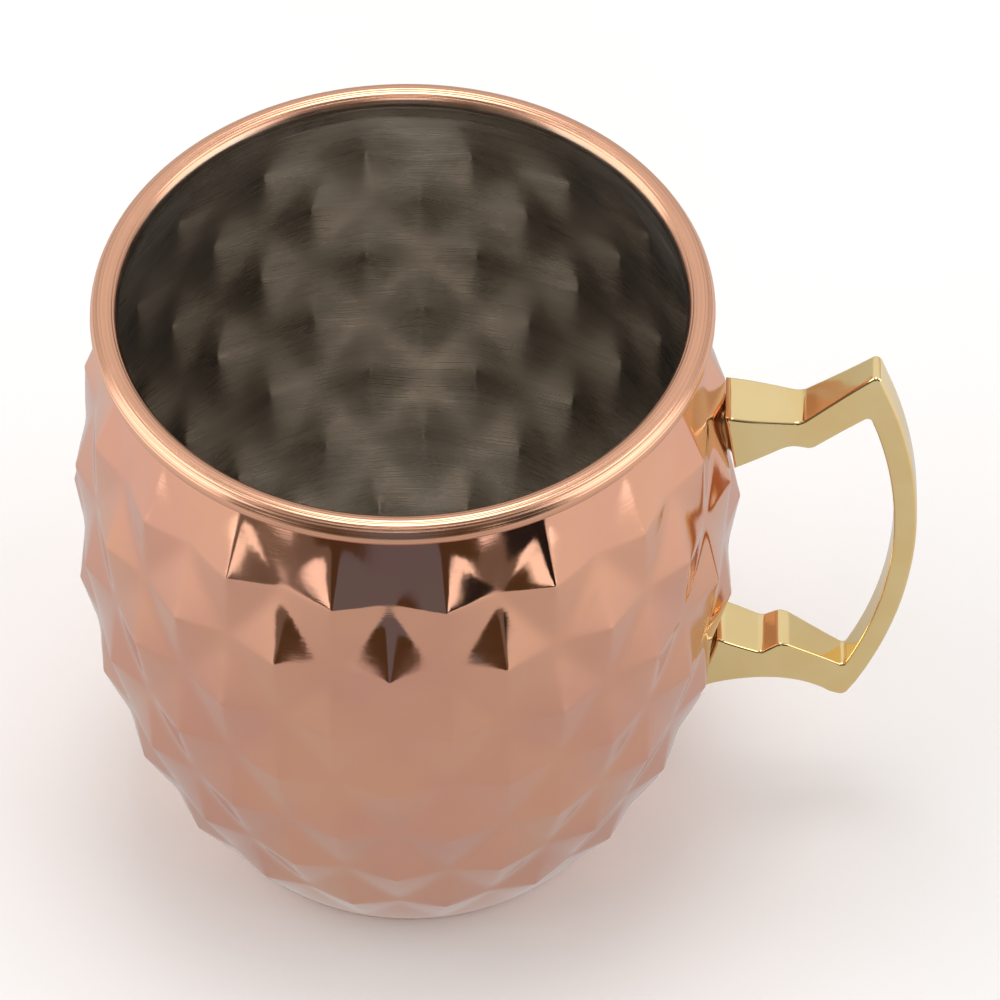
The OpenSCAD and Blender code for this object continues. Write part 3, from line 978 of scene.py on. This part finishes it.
def only_reflected(sheet, finish):
    """Give a sheet its glow, and hide it from everything but reflections, as a painted reflection."""
    apply_finish(finish, sheet)
    sheet.visible_camera = sheet.visible_diffuse = sheet.visible_shadow = False


def standing_sheet(name, start, end, low, high):
    """An upright sheet between two places on the floor."""
    corners = [(*start, low), (*end, low), (*end, high), (*start, high)]
    return plain_sheet(name, corners)


# %% [markdown]
# The mat is a painted floor reflection, which gives the lower half of the barrel one even
# tone. It has painted shade round the foot, where the mug keeps the light away, and it is
# painted paler to both sides. It lies a hair above the floor, so the two sheets don't fight
# over which one is on top.

# %% Grey mat: painted floor reflection with painted shade
MAT_HALF, MAT_NEAR, MAT_FAR, MAT_LIFT = 0.7, -0.9, 0.7, 0.0004
# Tones of the painted floor reflection: painted shade round the foot, the middle, painted paler
# sides.
MAT_PAINTED_SHADE, MAT_PAINTED_MIDDLE, MAT_PAINTED_SIDES = (0.55, 0.53, 0.52), (0.63, 0.61, 0.60), (0.92, 0.90, 0.88)
PAINTED_SHADE_EDGE, PAINTED_SIDES_EDGE = (0.035, 0.07), (0.04, 0.22)


def painted_mat_reflection(tree):
    """Painted floor reflection: even grey, painted shade under the mug, painted paler to both sides.
    """
    where = add(tree, "ShaderNodeTexCoord").outputs["Object"]
    aside = maths(tree, "ABSOLUTE", add(tree, "ShaderNodeSeparateXYZ", Vector=where).outputs["X"])
    far = add(tree, "ShaderNodeVectorMath", {"operation": "LENGTH"}, i0=where).outputs["Value"]
    shade = blend(tree, between(tree, aside, PAINTED_SIDES_EDGE, (0, 1)), MAT_PAINTED_MIDDLE, MAT_PAINTED_SIDES)
    return blend(tree, between(tree, far, PAINTED_SHADE_EDGE, (0, 1)), MAT_PAINTED_SHADE, shade)


mat = lying_sheet("painted_floor_reflection", MAT_HALF, MAT_NEAR, MAT_FAR, MAT_LIFT)
only_reflected(mat, glow_finish("painted_floor_reflection", painted_mat_reflection))

# %% [markdown]
# White cards are painted highlights: they make the bright edges in the reflections. Two large
# ones stand left and right, and two small ones stand low in front, where the flanks of the upper
# studs look for them.

# %% White cards, painted highlights
# Place and glow of the cards that paint highlights into the metal.
CARD_NEAR, CARD_FAR, CARD_TOP, CARD_GLOW = -0.33, 0.1, 0.35, 1.7
SIDE_CARDS = (("left_painted_highlight", -0.45), ("right_painted_highlight", 0.5))
LOW_CARD_Y, LOW_CARD_GLOW = -0.205, 1.4
LOW_CARDS = (
    ("left_low_painted_highlight", -0.18, -0.13, 0.036, 0.072),
    ("right_low_painted_highlight", 0.098, 0.128, 0.045, 0.075),
)


def painted_highlight_white(tree):
    """The same white all over, for the painted highlights."""
    return (1, 1, 0.98, 1)


for name, x in SIDE_CARDS:
    card = standing_sheet(name, (x, CARD_NEAR), (x, CARD_FAR), JUST_OVER_FLOOR, CARD_TOP)
    only_reflected(card, glow_finish(name, painted_highlight_white, CARD_GLOW))
for name, left, right, low, high in LOW_CARDS:
    card = standing_sheet(name, (left, LOW_CARD_Y), (right, LOW_CARD_Y), low, high)
    only_reflected(card, glow_finish(name, painted_highlight_white, LOW_CARD_GLOW))


# %% [markdown]
# The dark screen is a painted reflection of the camera's side of a studio. It is made of
# upright strips of painted dark reflection, one beside the other, and their edges wander a
# little. One ramp of colours does that on one sheet. Six separate sheets would need six
# meshes, and their straight edges would show in the polish.

# %% Dark screen in front, a painted reflection
SCREEN_Y, SCREEN_TOP = -0.215, 0.26
SCREEN_LEFT, SCREEN_RIGHT = -0.26, 0.25
# Colours of the painted dark reflection, strip by strip.
PAINTED_DARK_BROWN, PAINTED_DARK_GREY = (0.09, 0.06, 0.032), (0.16, 0.18, 0.22)
PAINTED_DARK_DUN, PAINTED_DARK_BLACK = (0.19, 0.17, 0.15), (0.02, 0.018, 0.018)
STRIP_WANDER = 0.06
STRIPS = (
    (SCREEN_LEFT, PAINTED_DARK_DUN),
    (-0.1, PAINTED_DARK_BROWN),
    (-0.035, PAINTED_DARK_GREY),
    (0.035, PAINTED_DARK_BROWN),
    (0.1, PAINTED_DARK_DUN),
    (0.135, PAINTED_DARK_BLACK),
)


def dark_reflection_strips(tree):
    """Strips of painted dark reflection side by side, with edges that wander a little."""
    where = add(tree, "ShaderNodeTexCoord").outputs["Object"]
    x = add(tree, "ShaderNodeSeparateXYZ", Vector=where).outputs["X"]
    wander = maths(tree, "MULTIPLY", noise(tree, where, per_metre=22), STRIP_WANDER)
    place = maths(tree, "SUBTRACT", maths(tree, "ADD", x, wander), STRIP_WANDER / 2)
    share = add(tree, "ShaderNodeMapRange", Value=place)
    share.inputs["From Min"].default_value = SCREEN_LEFT
    share.inputs["From Max"].default_value = SCREEN_RIGHT
    ramp = add(tree, "ShaderNodeValToRGB", Fac=share.outputs["Result"])
    ramp.color_ramp.interpolation = "CONSTANT"
    stops = ramp.color_ramp.elements
    stops.remove(stops[1])
    stops[0].color = (*STRIPS[0][1], 1)
    for start, colour in STRIPS[1:]:
        stops.new((start - SCREEN_LEFT) / (SCREEN_RIGHT - SCREEN_LEFT)).color = (*colour, 1)
    return ramp.outputs["Color"]


screen_ends = (SCREEN_LEFT, SCREEN_Y), (SCREEN_RIGHT, SCREEN_Y)
screen = standing_sheet("painted_dark_screen", *screen_ends, JUST_OVER_FLOOR, SCREEN_TOP)
only_reflected(screen, glow_finish("painted_dark_reflection", dark_reflection_strips))

# %% [markdown]
# Four soft lights: a narrow one overhead and a little behind, which reaches the inside of
# the cup, a weak one high in front for the rim, and two windows at the sides. Small lamps
# would put hard white dots on every stud.

# %% Soft lights
LOOK_AT = Vector((0, 0, 0.05))
LIGHTS = (
    ("overhead", (0.0, 0.22, 1.4), (0.5, 0.7), 4.5),
    ("front", (0.0, -1.25, 1.1), (0.5, 0.6), 1.6),
    ("left_window", (-1.0, -0.15, 0.6), (1.0, 1.0), 6),
    ("right_window", (1.1, -0.25, 0.65), (1.0, 1.0), 6),
)


def soft_light(name, place, size, watts):
    """A white rectangle of light that faces the mug."""
    light = bpy.data.lights.new(name, "AREA")
    light.shape = "RECTANGLE"
    light.size, light.size_y = size
    light.energy = watts
    lamp = bpy.data.objects.new(name, light)
    lamp.location = place
    lamp.rotation_euler = (LOOK_AT - Vector(place)).to_track_quat("-Z", "Y").to_euler()
    bpy.context.scene.collection.objects.link(lamp)


for name, place, size, watts in LIGHTS:
    soft_light(name, place, size, watts)
    print(name, watts, "W")


# %% [markdown]
# The room fills in the rest. It is pale, dimmer on the side where the camera stands and
# dimmer near the floor. The standard view transform keeps a white floor white.

# %% Room
ROOM_NEAR = (0.2, 0.19, 0.185)
ROOM_FAR_LOW, ROOM_FAR_HIGH = (0.6, 0.59, 0.58), (0.88, 0.87, 0.86)
ROOM_RISE, ROOM_DEPTH = (0.1, 0.65), (-0.9, 0.5)


def make_room():
    """A pale room, dimmer towards the camera's side and towards the floor."""
    room = bpy.data.worlds.new("room")
    room.use_nodes = True
    tree = room.node_tree
    way = add(tree, "ShaderNodeTexCoord").outputs["Generated"]
    split = add(tree, "ShaderNodeSeparateXYZ", Vector=way)
    high = between(tree, split.outputs["Z"], ROOM_RISE, (0, 1))
    deep = between(tree, split.outputs["Y"], ROOM_DEPTH, (0, 1))
    shade = blend(tree, deep, ROOM_NEAR, blend(tree, high, ROOM_FAR_LOW, ROOM_FAR_HIGH))
    tree.links.new(shade, tree.nodes["Background"].inputs["Color"])
    bpy.context.scene.world = room


make_room()
bpy.context.scene.view_settings.view_transform = "Standard"
print("room", ROOM_NEAR, "to", ROOM_FAR_HIGH)
